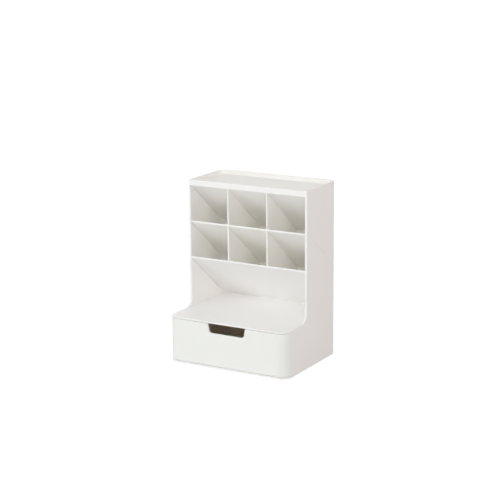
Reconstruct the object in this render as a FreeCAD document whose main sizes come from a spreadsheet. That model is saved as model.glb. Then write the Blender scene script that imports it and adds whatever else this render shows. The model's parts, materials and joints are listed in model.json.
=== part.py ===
"""Tape dispenser organizer with drawer: a moulded desk tower over a drawer.

The frame is in millimetres: X to the right, Y from the front to the back and Z up, with the
origin in the middle of the footprint, on the desk. Every size is a cell of the sheet "Sizes",
and every sketch, pad and cut is tied to those cells by an expression.
"""
import FreeCAD, Part
import math
import os
from collections import namedtuple
import Sketcher

# Driving sizes in millimetres: name, value, what it is.
SIZES = (
    ("width", 180.0, "overall width"),
    ("depth", 144.0, "overall depth"),
    ("height", 240.0, "overall height, feet included"),
    ("corner_radius", 14.0, "plan radius of the four outer corners"),
    ("panel_wall", 3.0, "thickness of the side and back panels"),
    ("tower_setback", 56.0, "front of the base to the front of the tower"),
    ("neck_radius", 14.0, "side panel's curve between the tower's front and the shelf"),
    ("return_length", 8.0, "side panel's flat return on the back, past the corner"),
    ("lap_length", 6.0, "overlap of the shiplap between side and back panel"),
    ("lap_clearance", 0.1, "gap at the ends of the laps"),
    ("groove_depth", 1.0, "depth of the grooves that hold plates, tray and shelf"),
    ("tongue_clearance", 0.1, "gap at the bottom of those grooves"),
    ("tongue_margin", 1.0, "grooves end this far before the back corner's curve"),
    ("corner_relief", 0.4, "extra radius on what fits inside the back corners"),
    ("foot_drop", 0.8, "how far the feet stand out below the base plate"),
    ("foot_radius", 6.0, "radius of a rubber foot"),
    ("foot_recess", 0.8, "depth of a foot's recess in the base plate"),
    ("foot_fit", 0.1, "radial gap between a foot and its recess"),
    ("foot_inset", 17.0, "foot's centre to the outer side and the front or back"),
    ("base_wall", 2.4, "thickness of the base plate"),
    ("shelf_top", 64.0, "shelf's upper face above the desk"),
    ("shelf_wall", 2.2, "thickness of the shelf plate"),
    ("header_height", 8.0, "height of the band over the pockets"),
    ("header_wall", 3.0, "thickness of that band"),
    ("tray_wall", 2.0, "thickness of the top tray's floor"),
    ("plate_wall", 2.0, "thickness of the sloped plates"),
    ("grid_recess", 1.5, "plates and dividers stand back behind the tower's front"),
    ("pocket_pitch", 49.6, "height from one sloped plate to the next"),
    ("bay_back_rise", 1.6, "lower plate's middle above the shelf, at the back"),
    ("divider_wall", 2.0, "thickness of a divider"),
    ("divider_spacing", 59.2, "distance between the dividers' middles"),
    ("boss_radius", 3.5, "screw boss on a side panel"),
    ("boss_overlap", 0.5, "how far a boss sinks into its panel"),
    ("boss_height", 15.0, "height of a screw boss"),
    ("boss_front", 32.0, "front of the base to the front bosses"),
    ("boss_back", 24.0, "back bosses to the back of the base"),
    ("boss_gap", 0.5, "gap between a boss and the runner beside it"),
    ("runner_wall", 1.6, "thickness of a runner's upright rib"),
    ("runner_height", 11.0, "height of that rib"),
    ("runner_foot", 8.0, "width of the runner's ledge under the drawer"),
    ("runner_floor", 1.2, "thickness of that ledge"),
    ("runner_start", 22.0, "front of the base to the runners' front end"),
    ("slide_gap", 0.3, "gap between the drawer's side and the runner"),
    ("seam", 0.5, "gap above and below the drawer's front"),
    ("wrap_depth", 18.0, "how far the drawer's front reaches round the corners"),
    ("wrap_gap", 0.3, "gap between that wrap and the side panel"),
    ("front_wall", 3.0, "thickness of the drawer's front"),
    ("slot_width", 56.8, "finger slot's width at the top edge"),
    ("slot_floor_width", 51.6, "finger slot's width at its floor, before rounding"),
    ("slot_depth", 12.6, "finger slot's depth below the top edge"),
    ("slot_corner", 4.0, "radius of the slot's lower corners"),
    ("slot_relief", 4.0, "how much wider and deeper the slot is in the drawer's box"),
    ("standoff", 3.0, "length of the bosses between front and box"),
    ("box_wall", 2.0, "drawer box's wall"),
    ("box_floor", 1.8, "drawer box's floor"),
    ("box_corner", 4.0, "drawer box's outer corner radius"),
    ("box_headroom", 2.8, "gap between the drawer box and the shelf above"),
    ("box_back_gap", 3.0, "gap between the drawer box and the back panel"),
    ("drawer_travel", 95.0, "how far the drawer comes out"),
    ("stop_gap", 0.3, "gap left at the stop when the drawer is fully out"),
    ("stop_wall", 2.0, "thickness of the stop's hook"),
    ("stop_flange", 1.5, "thickness of the stop's flange"),
    ("stop_length", 14.0, "length of the stop's flange"),
    ("stop_width", 16.0, "width of the stop"),
    ("stop_catch", 5.0, "how far the hook reaches below the box's rim"),
    ("base_screw_radius", 1.3, "base screw's shank"),
    ("base_screw_length", 11.0, "base screw's shank length under the head"),
    ("front_screw_radius", 1.4, "front screw's shank"),
    ("front_screw_floor", 1.2, "plastic left in front of a front screw's tip"),
    ("screw_head_radius", 2.6, "radius of a screw's head"),
    ("screw_head_height", 1.2, "height of a screw's head"),
    ("head_recess", 1.4, "depth of the head's counterbore in the base plate"),
    ("screw_clearance", 0.2, "radial gap round a shank or head in a clearance hole"),
    ("thread_fit", 0.05, "radial gap round a shank in its pilot hole"),
    ("pilot_spare", 1.0, "pilot hole's length beyond the screw's tip"),
    ("cross_width", 0.8, "width of the cross recess in a screw's head"),
    ("cross_length", 3.0, "length of that recess"),
    ("cross_depth", 0.7, "depth of that recess"),
    ("front_boss_radius", 4.0, "bosses behind the drawer's front"),
    ("front_boss_spacing", 120.0, "distance between those bosses across the drawer"),
    ("front_boss_low", 20.0, "height of the lower bosses above the desk"),
    ("front_boss_rise", 24.0, "upper bosses above the lower ones"),
)

# Cutting tools run past the faces they open by this much.
MARGIN = "1"

SIDES = {"left": "-1", "right": "1"}

# Places that several pieces share, as expressions of the sizes.
OUTER_X = "(Sizes.width / 2)"
INNER_X = "(Sizes.width / 2 - Sizes.panel_wall)"
TONGUE_X = f"({INNER_X} + Sizes.groove_depth - Sizes.tongue_clearance)"
FRONT_Y = "(-Sizes.depth / 2)"
BACK_Y = "(Sizes.depth / 2)"
BACK_INNER_Y = "(Sizes.depth / 2 - Sizes.panel_wall)"
INNER_RADIUS = "(Sizes.corner_radius - Sizes.panel_wall)"
SEATED_RADIUS = f"({INNER_RADIUS} + Sizes.corner_relief)"
TONGUE_END_Y = "(Sizes.depth / 2 - Sizes.corner_radius - Sizes.corner_relief - Sizes.tongue_margin)"
WRAP_Y = f"({FRONT_Y} + Sizes.wrap_depth)"
SIDE_FRONT_Y = f"({WRAP_Y} + Sizes.wrap_gap)"
TOWER_Y = f"({FRONT_Y} + Sizes.tower_setback)"
GRID_Y = f"({TOWER_Y} + Sizes.grid_recess)"
HEADER_BACK_Y = f"({TOWER_Y} + Sizes.header_wall)"
HALF_LAP_Y = f"(({GRID_Y} + {BACK_INNER_Y}) / 2)"
BASE_TOP = "(Sizes.foot_drop + Sizes.base_wall)"
SHELF_LOW = "(Sizes.shelf_top - Sizes.shelf_wall)"
HEADER_LOW = "(Sizes.height - Sizes.header_height)"
# The lower plate runs from its front edge down to the back of the shelf, and sets the slope.
GRADE = (f"(({HEADER_LOW} - 2 * Sizes.pocket_pitch - Sizes.shelf_top - Sizes.bay_back_rise)"
         f" / ({BACK_INNER_Y} - {GRID_Y}))")
PLATE_RISE = f"(Sizes.plate_wall * sqrt(1 + {GRADE} * {GRADE}))"
BOSS_X = f"({INNER_X} - Sizes.boss_radius + Sizes.boss_overlap)"
BOSS_Y = (f"({FRONT_Y} + Sizes.boss_front)", f"({BACK_Y} - Sizes.boss_back)")
RUNNER_OUT_X = f"({BOSS_X} - Sizes.boss_radius - Sizes.boss_gap)"
RUNNER_IN_X = f"({RUNNER_OUT_X} - Sizes.runner_wall)"
RUNNER_TOP = f"({BASE_TOP} + Sizes.runner_floor)"
RUNNER_FRONT_Y = f"({FRONT_Y} + Sizes.runner_start)"
BOX_X = f"({RUNNER_IN_X} - Sizes.slide_gap)"
BOX_FRONT_Y = f"({FRONT_Y} + Sizes.front_wall + Sizes.standoff)"
BOX_BACK_Y = f"({BACK_INNER_Y} - Sizes.box_back_gap)"
BOX_TOP = f"({SHELF_LOW} - Sizes.box_headroom)"
FRONT_LOW = f"({BASE_TOP} + Sizes.seam)"
FRONT_TOP = f"({SHELF_LOW} - Sizes.seam)"
FRONT_BOSS_Z = ("Sizes.front_boss_low", "(Sizes.front_boss_low + Sizes.front_boss_rise)")
STOP_BACK_Y = f"({BOX_BACK_Y} - Sizes.box_wall - Sizes.drawer_travel - Sizes.stop_gap)"
STOP_LOW = f"({BOX_TOP} - Sizes.stop_catch)"
HEAD_SEAT = "(Sizes.foot_drop + Sizes.head_recess)"
BASE_HEAD_LOW = f"({HEAD_SEAT} - Sizes.screw_head_height)"
FRONT_HEAD_Y = f"({BOX_FRONT_Y} + Sizes.box_wall)"
FRONT_TIP_Y = f"({FRONT_Y} + Sizes.front_screw_floor)"

Circle = namedtuple("Circle", "x y radius")
Corner = namedtuple("Corner", "x y radius", defaults=(None,))


def number(doc, expression):
    """An expression's value at the present sizes."""
    return float(doc.Sizes.evalExpression(expression))


def add_sizes(doc):
    """The sheet of driving sizes, one named cell for each."""
    sheet = doc.addObject("Spreadsheet::Sheet", "Sizes")
    for row, (name, value, meaning) in enumerate(SIZES, start=1):
        sheet.set(f"A{row}", meaning)
        sheet.set(f"B{row}", str(value))
        sheet.setAlias(f"B{row}", name)
    doc.recompute()


def tie(sketch, kind, geometry, expression):
    """A dimension of the sketch that follows an expression."""
    value = number(sketch.Document, expression)
    index = sketch.addConstraint(Sketcher.Constraint(kind, *geometry, value))
    sketch.setExpression(f"Constraints[{index}]", expression)


def pin_point(sketch, geometry, point, x, y):
    """Hold a point at x and y, measured from the sketch's origin."""
    tie(sketch, "DistanceX", (-1, 1, geometry, point), x)
    tie(sketch, "DistanceY", (-1, 1, geometry, point), y)


def add_circle(sketch, circle):
    centre = FreeCAD.Vector(number(sketch.Document, circle.x), number(sketch.Document, circle.y))
    radius = number(sketch.Document, circle.radius)
    edge = sketch.addGeometry(Part.Circle(centre, FreeCAD.Vector(0, 0, 1), radius))
    pin_point(sketch, edge, 3, circle.x, circle.y)
    tie(sketch, "Radius", (edge,), circle.radius)


def fillet_arc(before, corner, after, radius):
    """The arc that rounds a corner, and whether it turns left."""
    inward = (before - corner).normalize()
    outward = (after - corner).normalize()
    reach = radius / math.tan(inward.getAngle(outward) / 2)
    start = corner + inward * reach
    end = corner + outward * reach
    middle_line = (inward + outward).normalize()
    centre = corner + middle_line * math.hypot(radius, reach)
    middle = centre - middle_line * radius
    turns_left = (corner - before).cross(after - corner).z > 0
    return start, middle, end, turns_left


def add_outline(sketch, corners):
    """A closed outline through the corners; a corner with a radius gets a tangent arc."""
    doc = sketch.Document
    points = [FreeCAD.Vector(number(doc, corner.x), number(doc, corner.y)) for corner in corners]
    starts = list(points)
    ends = list(points)
    arcs = {}
    for place, corner in enumerate(corners):
        if corner.radius is None:
            continue
        following = points[(place + 1) % len(points)]
        radius = number(doc, corner.radius)
        start, middle, end, turns_left = fillet_arc(points[place - 1], points[place], following, radius)
        ends[place] = start
        starts[place] = end
        arcs[place] = (sketch.addGeometry(Part.Arc(start, middle, end)), turns_left)
    lines = []
    for place in range(len(points)):
        run = Part.LineSegment(starts[place], ends[(place + 1) % len(points)])
        lines.append(sketch.addGeometry(run))
    for place, corner in enumerate(corners):
        arriving = lines[place - 1]
        leaving = lines[place]
        if place not in arcs:
            sketch.addConstraint(Sketcher.Constraint("Coincident", arriving, 2, leaving, 1))
            pin_point(sketch, leaving, 1, corner.x, corner.y)
            continue
        arc, turns_left = arcs[place]
        first, last = (1, 2) if turns_left else (2, 1)
        vertex = sketch.addGeometry(Part.Point(points[place]), True)
        pin_point(sketch, vertex, 1, corner.x, corner.y)
        sketch.addConstraint(Sketcher.Constraint("PointOnObject", vertex, 1, arriving))
        sketch.addConstraint(Sketcher.Constraint("PointOnObject", vertex, 1, leaving))
        sketch.addConstraint(Sketcher.Constraint("Tangent", arriving, 2, arc, first))
        sketch.addConstraint(Sketcher.Constraint("Tangent", arc, last, leaving, 1))
        tie(sketch, "Radius", (arc,), corner.radius)


class Piece:
    """One body, made of pads and cuts that run in the positive direction of an axis.

    The plane is XY for a shape that runs up, XZ for one that runs back (x, z) and YZ for one
    that runs to the right (y, z). The level is where the shape starts on that axis.
    """

    def __init__(self, doc, name):
        self.doc = doc
        self.body = doc.addObject("PartDesign::Body", name)
        self.body.Label = name
        self.body.AllowCompound = True
        self.body.Placement = FreeCAD.Placement()
        self.volume = 0.0

    def sketch(self, name, plane, level, shapes):
        sketch = self.body.newObject("Sketcher::SketchObject", name)
        support = [item for item in self.body.Origin.OriginFeatures if item.Role == f"{plane}_Plane"]
        sketch.AttachmentSupport = [(support[0], "")]
        sketch.MapMode = "FlatFace"
        # The XZ plane faces forwards, against the Y axis.
        offset = f"-({level})" if plane == "XZ" else level
        sketch.setExpression("AttachmentOffset.Base.z", offset)
        for shape in shapes:
            if isinstance(shape, Circle):
                add_circle(sketch, shape)
            else:
                add_outline(sketch, shape)
        sketch.Visibility = False
        return sketch

    def feature(self, kind, plane, level, length, shapes):
        name = f"{self.body.Name}_{kind.lower()}_{len(self.body.Group)}"
        sketch = self.sketch(f"{name}_sketch", plane, level, shapes)
        feature = self.body.newObject(f"PartDesign::{kind}", name)
        feature.Profile = sketch
        feature.Type = "Length"
        feature.setExpression("Length", length)
        # A pad follows its sketch's normal and a pocket goes against it.
        feature.Reversed = (kind == "Pad") == (plane == "XZ")
        self.doc.recompute()
        self.body.Tip = feature
        volume = feature.Shape.Volume
        grew = volume > self.volume
        if grew != (kind == "Pad") or volume == self.volume:
            raise ValueError(f"{name} changed the volume from {self.volume:.3f} to {volume:.3f}")
        self.volume = volume

    def pad(self, plane, level, length, *shapes):
        self.feature("Pad", plane, level, length, shapes)

    def cut(self, plane, level, length, *shapes):
        self.feature("Pocket", plane, level, length, shapes)


def rectangle(x_low, y_low, x_high, y_high, radius=None):
    return [
        Corner(x_low, y_low, radius),
        Corner(x_high, y_low, radius),
        Corner(x_high, y_high, radius),
        Corner(x_low, y_high, radius),
    ]


def span(low, high):
    """The length from one level to another."""
    return f"({high} - {low})"


def plate_z(row, y, side):
    """Height of a sloped plate at y: row 1 is the middle plate, row 2 the lower one.

    The side is 1 for the upper face, -1 for the underside.
    """
    front = f"{HEADER_LOW} - {row} * Sizes.pocket_pitch"
    return f"({front} - {GRADE} * ({y} - {GRID_Y}) + {side} * {PLATE_RISE} / 2)"


def ceiling_z(y):
    """Underside of the upper plate, which starts at the foot of the header."""
    return f"({HEADER_LOW} - {GRADE} * ({y} - {HEADER_BACK_Y}))"


def plate_profile(row, y_back):
    """Side view of the middle or lower plate, from its front edge to y_back."""
    return [
        Corner(GRID_Y, plate_z(row, GRID_Y, -1)),
        Corner(y_back, plate_z(row, y_back, -1)),
        Corner(y_back, plate_z(row, y_back, 1)),
        Corner(GRID_Y, plate_z(row, GRID_Y, 1)),
    ]


def upper_profile(y_back):
    """Side view of the upper plate, whose front is bevelled to lie flat under the tray."""
    return [
        Corner(HEADER_BACK_Y, HEADER_LOW),
        Corner(y_back, ceiling_z(y_back)),
        Corner(y_back, f"({ceiling_z(y_back)} + {PLATE_RISE})"),
        Corner(f"({HEADER_BACK_Y} + {PLATE_RISE} / {GRADE})", HEADER_LOW),
    ]


def panel_section(sign):
    """Plan of a side panel: straight side, rounded back corner and a stepped return."""
    corner_x = f"({OUTER_X} - Sizes.corner_radius)"
    outer_end = f"({corner_x} - Sizes.return_length)"
    inner_end = f"({outer_end} + Sizes.lap_length)"
    step_y = f"({BACK_Y} - Sizes.panel_wall / 2)"
    return [
        Corner(f"{sign} * {OUTER_X}", SIDE_FRONT_Y),
        Corner(f"{sign} * {OUTER_X}", BACK_Y, "Sizes.corner_radius"),
        Corner(f"{sign} * {outer_end}", BACK_Y),
        Corner(f"{sign} * {outer_end}", step_y),
        Corner(f"{sign} * {inner_end}", step_y),
        Corner(f"{sign} * {inner_end}", BACK_INNER_Y),
        Corner(f"{sign} * {INNER_X}", BACK_INNER_Y, INNER_RADIUS),
        Corner(f"{sign} * {INNER_X}", SIDE_FRONT_Y),
    ]


def side_panel(doc, side):
    sign = SIDES[side]
    piece = Piece(doc, f"{side}_side_panel")
    piece.pad("XY", BASE_TOP, span(BASE_TOP, "Sizes.height"), panel_section(sign))
    above = f"(Sizes.height + {MARGIN})"
    ahead = f"({SIDE_FRONT_Y} - {MARGIN})"
    open_front = [
        Corner(ahead, "Sizes.shelf_top"),
        Corner(TOWER_Y, "Sizes.shelf_top", "Sizes.neck_radius"),
        Corner(TOWER_Y, above),
        Corner(ahead, above),
    ]
    beside = f"({OUTER_X} + {MARGIN})"
    piece.cut("YZ", f"-{beside}", f"2 * {beside}", open_front)
    groove_start = INNER_X if side == "right" else f"-({INNER_X} + Sizes.groove_depth)"
    grooves = (
        upper_profile(TONGUE_END_Y),
        plate_profile(1, TONGUE_END_Y),
        plate_profile(2, TONGUE_END_Y),
        rectangle(SIDE_FRONT_Y, SHELF_LOW, TONGUE_END_Y, "Sizes.shelf_top"),
    )
    for groove in grooves:
        piece.cut("YZ", groove_start, "Sizes.groove_depth", groove)
    tray_groove = rectangle(HEADER_BACK_Y, HEADER_LOW, TONGUE_END_Y, f"({HEADER_LOW} + Sizes.tray_wall)")
    piece.cut("YZ", groove_start, "Sizes.groove_depth", tray_groove)
    pilot_radius = "(Sizes.base_screw_radius + Sizes.thread_fit)"
    pilot_top = f"({HEAD_SEAT} + Sizes.base_screw_length + Sizes.pilot_spare)"
    for y in BOSS_Y:
        boss = Circle(f"{sign} * {BOSS_X}", y, "Sizes.boss_radius")
        piece.pad("XY", BASE_TOP, "Sizes.boss_height", boss)
        pilot = Circle(f"{sign} * {BOSS_X}", y, pilot_radius)
        piece.cut("XY", BASE_TOP, span(BASE_TOP, pilot_top), pilot)


def back_panel(doc):
    outer_x = f"({OUTER_X} - Sizes.corner_radius - Sizes.return_length - Sizes.lap_clearance)"
    inner_x = f"({outer_x} + Sizes.lap_length)"
    step_y = f"({BACK_Y} - Sizes.panel_wall / 2)"
    piece = Piece(doc, "back_panel")
    section = [
        Corner(f"-{inner_x}", BACK_INNER_Y),
        Corner(inner_x, BACK_INNER_Y),
        Corner(inner_x, step_y),
        Corner(outer_x, step_y),
        Corner(outer_x, BACK_Y),
        Corner(f"-{outer_x}", BACK_Y),
        Corner(f"-{outer_x}", step_y),
        Corner(f"-{inner_x}", step_y),
    ]
    piece.pad("XY", BASE_TOP, span(BASE_TOP, "Sizes.height"), section)


def base_plate(doc):
    piece = Piece(doc, "base_plate")
    footprint = rectangle(f"-{OUTER_X}", FRONT_Y, OUTER_X, BACK_Y, "Sizes.corner_radius")
    piece.pad("XY", "Sizes.foot_drop", "Sizes.base_wall", footprint)
    recess_radius = "(Sizes.foot_radius + Sizes.foot_fit)"
    recesses = [Circle(x, y, recess_radius) for x, y in foot_places().values()]
    piece.cut("XY", "Sizes.foot_drop", "Sizes.foot_recess", *recesses)
    places = base_screw_places()
    holes = [Circle(x, y, "(Sizes.base_screw_radius + Sizes.screw_clearance)") for x, y in places]
    piece.cut("XY", "Sizes.foot_drop", "Sizes.base_wall", *holes)
    sinks = [Circle(x, y, "(Sizes.screw_head_radius + Sizes.screw_clearance)") for x, y in places]
    piece.cut("XY", "Sizes.foot_drop", "Sizes.head_recess", *sinks)


def foot_places():
    """Centre of each foot, by name."""
    x = f"({OUTER_X} - Sizes.foot_inset)"
    y = f"({BACK_Y} - Sizes.foot_inset)"
    return {
        "front_left_foot": (f"-{x}", f"-{y}"),
        "front_right_foot": (x, f"-{y}"),
        "back_left_foot": (f"-{x}", y),
        "back_right_foot": (x, y),
    }


def feet(doc):
    for name, (x, y) in foot_places().items():
        foot = Piece(doc, name)
        foot.pad("XY", "0", "Sizes.foot_drop + Sizes.foot_recess", Circle(x, y, "Sizes.foot_radius"))


def base_screw_places():
    return [(f"{sign} * {BOSS_X}", y) for sign in SIDES.values() for y in BOSS_Y]


def cross_recess(x, y):
    """Cross recess of a screw's head: an outline of twelve corners round x and y."""
    arm = "Sizes.cross_length / 2"
    half = "Sizes.cross_width / 2"
    quarter = [(arm, half), (half, half), (half, arm)]
    corners = []
    for sign_x, sign_y, steps in (("", "", 1), ("-", "", -1), ("-", "-", 1), ("", "-", -1)):
        for across, along in quarter[::steps]:
            corners.append(Corner(f"{x} + {sign_x or '+'}({across})", f"{y} + {sign_y or '+'}({along})"))
    return corners


def base_screws(doc):
    piece = Piece(doc, "base_screws")
    places = base_screw_places()
    shanks = [Circle(x, y, "Sizes.base_screw_radius") for x, y in places]
    heads = [Circle(x, y, "Sizes.screw_head_radius") for x, y in places]
    piece.pad("XY", HEAD_SEAT, "Sizes.base_screw_length", *shanks)
    piece.pad("XY", BASE_HEAD_LOW, "Sizes.screw_head_height", *heads)
    crosses = [cross_recess(x, y) for x, y in places]
    piece.cut("XY", BASE_HEAD_LOW, "Sizes.cross_depth", *crosses)


def back_corner(sign):
    """What is cut from a square back corner to fit inside the tower's rounded one."""
    x_in = f"{sign} * ({INNER_X} - {SEATED_RADIUS} - {MARGIN})"
    x_out = f"{sign} * ({INNER_X} + Sizes.groove_depth + {MARGIN})"
    beyond = f"({BACK_INNER_Y} + {MARGIN})"
    return [
        Corner(f"{sign} * {INNER_X}", TONGUE_END_Y),
        Corner(f"{sign} * {INNER_X}", BACK_INNER_Y, SEATED_RADIUS),
        Corner(x_in, BACK_INNER_Y),
        Corner(x_in, beyond),
        Corner(x_out, beyond),
        Corner(x_out, TONGUE_END_Y),
    ]


def sloped_plate(doc, name, profile):
    """A plate between the side panels, with a tongue along each side."""
    piece = Piece(doc, name)
    piece.pad("YZ", f"-{INNER_X}", f"2 * {INNER_X}", profile(BACK_INNER_Y))
    for start in (f"-{TONGUE_X}", INNER_X):
        piece.pad("YZ", start, span(INNER_X, TONGUE_X), profile(TONGUE_END_Y))
    corners = [back_corner(sign) for sign in SIDES.values()]
    piece.cut("XY", "0", "Sizes.height", *corners)
    return piece


def sloped_plates(doc):
    sloped_plate(doc, "upper_plate", upper_profile)
    sloped_plate(doc, "lower_plate", lambda y_back: plate_profile(2, y_back))
    middle = sloped_plate(doc, "middle_plate", lambda y_back: plate_profile(1, y_back))
    half = "(Sizes.divider_wall / 2 + Sizes.lap_clearance)"
    beyond = f"({BACK_INNER_Y} + {MARGIN})"
    slots = []
    for sign in SIDES.values():
        x = f"{sign} * Sizes.divider_spacing / 2"
        slots.append(rectangle(f"{x} - {half}", HALF_LAP_Y, f"{x} + {half}", beyond))
    middle.cut("XY", "0", "Sizes.height", *slots)


def divider(doc, side):
    """Upright divider, slotted from the front to let the middle plate through."""
    piece = Piece(doc, f"{side}_divider")
    start = f"{SIDES[side]} * Sizes.divider_spacing / 2 - Sizes.divider_wall / 2"
    outline = [
        Corner(GRID_Y, plate_z(2, GRID_Y, 1)),
        Corner(BACK_INNER_Y, plate_z(2, BACK_INNER_Y, 1)),
        Corner(BACK_INNER_Y, ceiling_z(BACK_INNER_Y)),
        Corner(HEADER_BACK_Y, HEADER_LOW),
        Corner(GRID_Y, HEADER_LOW),
    ]
    piece.pad("YZ", start, "Sizes.divider_wall", outline)
    ahead = f"({GRID_Y} - {MARGIN})"
    slot = [
        Corner(ahead, plate_z(1, ahead, -1)),
        Corner(HALF_LAP_Y, plate_z(1, HALF_LAP_Y, -1)),
        Corner(HALF_LAP_Y, plate_z(1, HALF_LAP_Y, 1)),
        Corner(ahead, plate_z(1, ahead, 1)),
    ]
    piece.cut("YZ", start, "Sizes.divider_wall", slot)


def top_tray(doc):
    """The tray's floor with the header band along its front."""
    piece = Piece(doc, "top_tray")
    floor = [
        Corner(f"-{INNER_X}", TOWER_Y),
        Corner(INNER_X, TOWER_Y),
        Corner(INNER_X, BACK_INNER_Y, SEATED_RADIUS),
        Corner(f"-{INNER_X}", BACK_INNER_Y, SEATED_RADIUS),
    ]
    piece.pad("XY", HEADER_LOW, "Sizes.tray_wall", floor)
    header = rectangle(f"-{INNER_X}", TOWER_Y, INNER_X, HEADER_BACK_Y)
    piece.pad("XY", HEADER_LOW, "Sizes.header_height", header)
    tongues = rectangle(f"-{TONGUE_X}", HEADER_BACK_Y, TONGUE_X, TONGUE_END_Y)
    piece.pad("XY", HEADER_LOW, "Sizes.tray_wall", tongues)


def shelf_plate(doc):
    """The shelf, as wide as the base in front and let into the side panels behind."""
    piece = Piece(doc, "shelf_plate")
    right = [
        Corner(OUTER_X, FRONT_Y, "Sizes.corner_radius"),
        Corner(OUTER_X, SIDE_FRONT_Y),
        Corner(TONGUE_X, SIDE_FRONT_Y),
        Corner(TONGUE_X, TONGUE_END_Y),
        Corner(INNER_X, TONGUE_END_Y),
        Corner(INNER_X, BACK_INNER_Y, SEATED_RADIUS),
    ]
    left = [Corner(f"-{corner.x}", corner.y, corner.radius) for corner in reversed(right)]
    piece.pad("XY", SHELF_LOW, "Sizes.shelf_wall", right + left)


def runner(doc, side):
    """L-shaped strip on the base plate that carries and guides one side of the drawer."""
    sign = SIDES[side]
    rib_top = f"({BASE_TOP} + Sizes.runner_height)"
    ledge_x = f"({RUNNER_IN_X} - Sizes.runner_foot)"
    profile = [
        Corner(f"{sign} * {RUNNER_OUT_X}", BASE_TOP),
        Corner(f"{sign} * {RUNNER_OUT_X}", rib_top),
        Corner(f"{sign} * {RUNNER_IN_X}", rib_top),
        Corner(f"{sign} * {RUNNER_IN_X}", RUNNER_TOP),
        Corner(f"{sign} * {ledge_x}", RUNNER_TOP),
        Corner(f"{sign} * {ledge_x}", BASE_TOP),
    ]
    piece = Piece(doc, f"{side}_runner")
    piece.pad("XZ", RUNNER_FRONT_Y, span(RUNNER_FRONT_Y, BOX_BACK_Y), profile)


def drawer_stop(doc):
    """Hooked tab under the shelf that catches the drawer's back wall."""
    flange_low = f"({SHELF_LOW} - Sizes.stop_flange)"
    hook_front = f"({STOP_BACK_Y} - Sizes.stop_wall)"
    flange_back = f"({hook_front} + Sizes.stop_length)"
    profile = [
        Corner(hook_front, STOP_LOW),
        Corner(STOP_BACK_Y, STOP_LOW),
        Corner(STOP_BACK_Y, flange_low),
        Corner(flange_back, flange_low),
        Corner(flange_back, SHELF_LOW),
        Corner(hook_front, SHELF_LOW),
    ]
    piece = Piece(doc, "drawer_stop")
    piece.pad("YZ", "-Sizes.stop_width / 2", "Sizes.stop_width", profile)


def finger_slot(relief):
    """The slot seen from the front, with its sides carried on above the top edge."""
    floor_z = f"({FRONT_TOP} - Sizes.slot_depth - {relief})"
    open_z = f"({FRONT_TOP} + Sizes.seam + Sizes.shelf_wall)"
    floor_x = f"(Sizes.slot_floor_width / 2 + {relief})"
    flare = "(Sizes.slot_width - Sizes.slot_floor_width) / 2 / Sizes.slot_depth"
    open_x = f"({floor_x} + {flare} * ({open_z} - {floor_z}))"
    return [
        Corner(f"-{floor_x}", floor_z, "Sizes.slot_corner"),
        Corner(floor_x, floor_z, "Sizes.slot_corner"),
        Corner(open_x, open_z),
        Corner(f"-{open_x}", open_z),
    ]


def front_boss_places():
    half = "Sizes.front_boss_spacing / 2"
    return [(f"{sign} * {half}", z) for sign in SIDES.values() for z in FRONT_BOSS_Z]


def drawer_front(doc):
    """Front of the drawer: a shell that reaches round both corners of the base."""
    piece = Piece(doc, "drawer_front")
    inner_x = f"({OUTER_X} - Sizes.front_wall)"
    inner_y = f"({FRONT_Y} + Sizes.front_wall)"
    inner_radius = "(Sizes.corner_radius - Sizes.front_wall)"
    section = [
        Corner(f"-{OUTER_X}", FRONT_Y, "Sizes.corner_radius"),
        Corner(OUTER_X, FRONT_Y, "Sizes.corner_radius"),
        Corner(OUTER_X, WRAP_Y),
        Corner(inner_x, WRAP_Y),
        Corner(inner_x, inner_y, inner_radius),
        Corner(f"-{inner_x}", inner_y, inner_radius),
        Corner(f"-{inner_x}", WRAP_Y),
        Corner(f"-{OUTER_X}", WRAP_Y),
    ]
    piece.pad("XY", FRONT_LOW, span(FRONT_LOW, FRONT_TOP), section)
    piece.cut("XZ", FRONT_Y, "Sizes.front_wall", finger_slot("0"))
    bosses = [Circle(x, z, "Sizes.front_boss_radius") for x, z in front_boss_places()]
    piece.pad("XZ", inner_y, "Sizes.standoff", *bosses)
    pilot_radius = "(Sizes.front_screw_radius + Sizes.thread_fit)"
    pilots = [Circle(x, z, pilot_radius) for x, z in front_boss_places()]
    piece.cut("XZ", FRONT_TIP_Y, span(FRONT_TIP_Y, BOX_FRONT_Y), *pilots)


def drawer_box(doc):
    """Open box behind the drawer's front, slotted for the fingers."""
    piece = Piece(doc, "drawer_box")
    outside = rectangle(f"-{BOX_X}", BOX_FRONT_Y, BOX_X, BOX_BACK_Y, "Sizes.box_corner")
    piece.pad("XY", RUNNER_TOP, span(RUNNER_TOP, BOX_TOP), outside)
    inside_x = f"({BOX_X} - Sizes.box_wall)"
    inside_front = f"({BOX_FRONT_Y} + Sizes.box_wall)"
    inside_back = f"({BOX_BACK_Y} - Sizes.box_wall)"
    inside_radius = "(Sizes.box_corner - Sizes.box_wall)"
    inside = rectangle(f"-{inside_x}", inside_front, inside_x, inside_back, inside_radius)
    inside_low = f"({RUNNER_TOP} + Sizes.box_floor)"
    piece.cut("XY", inside_low, span(inside_low, BOX_TOP), inside)
    piece.cut("XZ", BOX_FRONT_Y, "Sizes.box_wall", finger_slot("Sizes.slot_relief"))
    hole_radius = "(Sizes.front_screw_radius + Sizes.screw_clearance)"
    holes = [Circle(x, z, hole_radius) for x, z in front_boss_places()]
    piece.cut("XZ", BOX_FRONT_Y, "Sizes.box_wall", *holes)


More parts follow.
